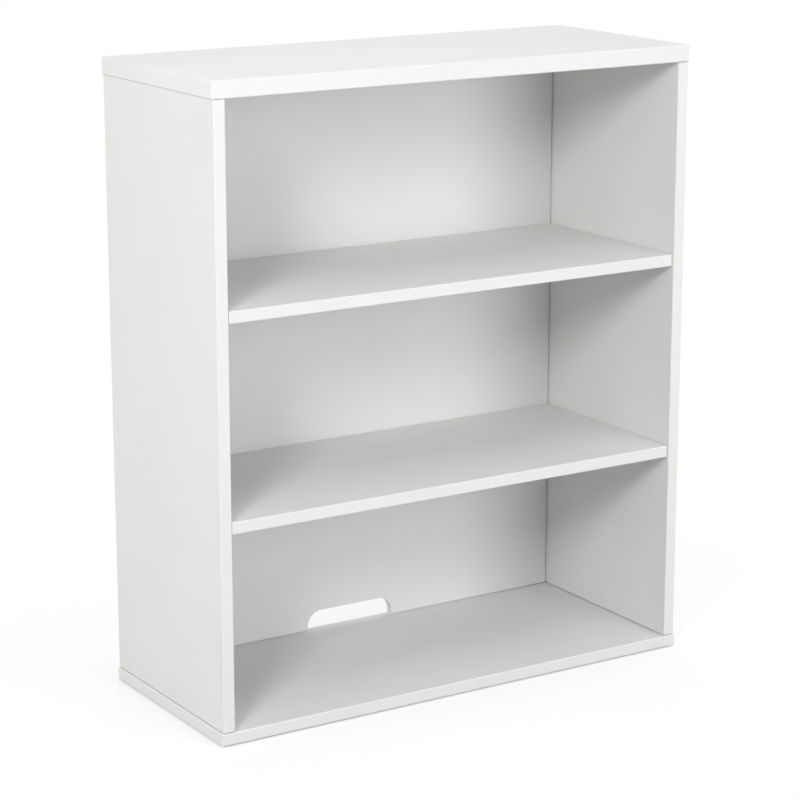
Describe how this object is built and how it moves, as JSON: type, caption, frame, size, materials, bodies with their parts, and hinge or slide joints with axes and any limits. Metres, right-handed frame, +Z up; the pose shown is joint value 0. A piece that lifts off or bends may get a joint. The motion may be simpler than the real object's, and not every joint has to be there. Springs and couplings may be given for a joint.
{
  "type": "open bookcase",
  "caption": "Open white laminate bookcase with loose shelves on pins, a thicker top, an inset solid back and a rounded cable notch at the foot of the back.",
  "frame": {"origin": "on the floor, under the middle of the bookcase", "axes": "+Z up, the open front faces -Y, +X to the right seen from the front"},
  "size_m": [0.804, 0.33, 0.942],
  "materials": {
    "white_laminate": "chipboard faced with white melamine, fine satin texture",
    "white_edge_band": "white plastic edge banding, satin",
    "beech_dowel": "plain beech, unfinished",
    "plated_pin": "nickel plated",
    "grey_glide": "moulded, matt"
  },
  "bodies": {
    "carcass": {"top_panel": "white_laminate", "base_panel": "white_laminate", "left_side": "white_laminate", "right_side": "white_laminate", "back_panel": "white_laminate", "top_panel_front_band": "white_edge_band", "top_panel_rear_band": "white_edge_band", "top_panel_left_band": "white_edge_band", "top_panel_right_band": "white_edge_band", "base_panel_front_band": "white_edge_band", "base_panel_rear_band": "white_edge_band", "base_panel_left_band": "white_edge_band", "base_panel_right_band": "white_edge_band", "left_side_front_band": "white_edge_band", "left_side_rear_band": "white_edge_band", "right_side_front_band": "white_edge_band", "right_side_rear_band": "white_edge_band", "left_top_dowels": "beech_dowel", "left_base_dowels": "beech_dowel", "right_top_dowels": "beech_dowel", "right_base_dowels": "beech_dowel", "back_top_dowels": "beech_dowel", "back_base_dowels": "beech_dowel", "back_left_dowels": "beech_dowel", "back_right_dowels": "beech_dowel", "lower_shelf_pins": "plated_pin", "upper_shelf_pins": "plated_pin", "floor_glides": "grey_glide"},
    "lower_shelf": {"lower_shelf": "white_laminate", "lower_shelf_front_band": "white_edge_band", "lower_shelf_rear_band": "white_edge_band", "lower_shelf_left_band": "white_edge_band", "lower_shelf_right_band": "white_edge_band"},
    "upper_shelf": {"upper_shelf": "white_laminate", "upper_shelf_front_band": "white_edge_band", "upper_shelf_rear_band": "white_edge_band", "upper_shelf_left_band": "white_edge_band", "upper_shelf_right_band": "white_edge_band"}
  },
  "joints": [
    {"name": "lower_shelf_slide", "type": "slide", "parent": "carcass", "child": "lower_shelf", "axis": [0, -1, 0], "range_m": [0, 0.32]},
    {"name": "upper_shelf_slide", "type": "slide", "parent": "carcass", "child": "upper_shelf", "axis": [0, -1, 0], "range_m": [0, 0.32]}
  ]
}
